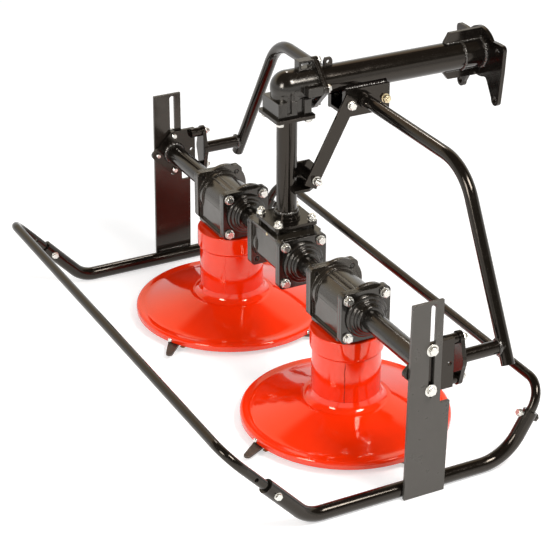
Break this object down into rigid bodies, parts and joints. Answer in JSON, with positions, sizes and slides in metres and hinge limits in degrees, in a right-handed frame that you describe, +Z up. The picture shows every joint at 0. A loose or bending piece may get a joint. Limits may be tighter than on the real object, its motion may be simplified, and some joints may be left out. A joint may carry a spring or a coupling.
{
  "type": "walk-behind tractor drum mower",
  "caption": "Drum mower attachment: gearbox crossbeam over knife discs on drums, upright column, drive tube with bolted hitch flange, guard bars, hoop and swath plates.",
  "frame": {"origin": "on the ground at the middle of the machine's length and width", "axes": "+Z up, +Y back towards the tractor along the drive tube, X along the gearbox crossbeam with +X the operator's left"},
  "size_m": [1.1014, 0.843, 0.6454],
  "materials": {
    "gloss_black_paint": "gloss black paint on tube, plate and castings",
    "satin_black_paint": "satin dark grey paint on plate",
    "orange_red_paint": "gloss orange-red paint on pressed sheet",
    "knife_steel": "rolled spring steel",
    "bare_steel": "turned or pressed bare steel"
  },
  "bodies": {
    "frame": {"centre_housing": "gloss_black_paint", "beam_link_left": "gloss_black_paint", "beam_link_right": "gloss_black_paint", "column": "gloss_black_paint", "strut_lug": "gloss_black_paint", "elbow_housing": "gloss_black_paint", "drive_tube": "gloss_black_paint", "hitch_flange": "gloss_black_paint", "saddle": "gloss_black_paint", "strut": "gloss_black_paint", "rotor_housing_left": "gloss_black_paint", "rotor_housing_right": "gloss_black_paint", "end_tube_left": "gloss_black_paint", "end_tube_right": "gloss_black_paint", "end_bracket_left": "gloss_black_paint", "end_bracket_right": "gloss_black_paint", "arm_left": "gloss_black_paint", "arm_right": "gloss_black_paint", "guard_left": "gloss_black_paint", "guard_right": "gloss_black_paint", "swath_plate_left": "satin_black_paint", "swath_plate_right": "satin_black_paint", "side_rail_left": "gloss_black_paint", "side_rail_right": "gloss_black_paint", "front_hoop": "gloss_black_paint", "rear_hoop": "gloss_black_paint"},
    "rotor_left": {"drum_left": "orange_red_paint", "disc_left": "orange_red_paint", "knives_left": "knife_steel", "rotor_shaft_left": "bare_steel"},
    "rotor_right": {"drum_right": "orange_red_paint", "disc_right": "orange_red_paint", "knives_right": "knife_steel", "rotor_shaft_right": "bare_steel"},
    "skid_left": {"skid_dish_left": "bare_steel"},
    "skid_right": {"skid_dish_right": "bare_steel"},
    "input": {"input_shaft": "bare_steel"}
  },
  "joints": [
    {"name": "rotor_left_spin", "type": "hinge", "parent": "frame", "child": "rotor_left", "pos_m": [0.245, -0.0275, 0.2], "axis": [0, 0, 1], "continuous": true},
    {"name": "rotor_right_spin", "type": "hinge", "parent": "frame", "child": "rotor_right", "pos_m": [-0.245, -0.0275, 0.2], "axis": [0, 0, 1], "continuous": true},
    {"name": "skid_left_spin", "type": "hinge", "parent": "rotor_left", "child": "skid_left", "pos_m": [0.245, -0.0275, 0.01], "axis": [0, 0, 1], "continuous": true},
    {"name": "skid_right_spin", "type": "hinge", "parent": "rotor_right", "child": "skid_right", "pos_m": [-0.245, -0.0275, 0.01], "axis": [0, 0, 1], "continuous": true},
    {"name": "input_spin", "type": "hinge", "parent": "frame", "child": "input", "pos_m": [0, 0.3925, 0.594], "axis": [0, 1, 0], "continuous": true}
  ],
  "couplings": [
    {"joint": "rotor_right_spin", "follows": "rotor_left_spin", "ratio": -1},
    {"joint": "input_spin", "follows": "rotor_left_spin", "ratio": 0.5}
  ]
}
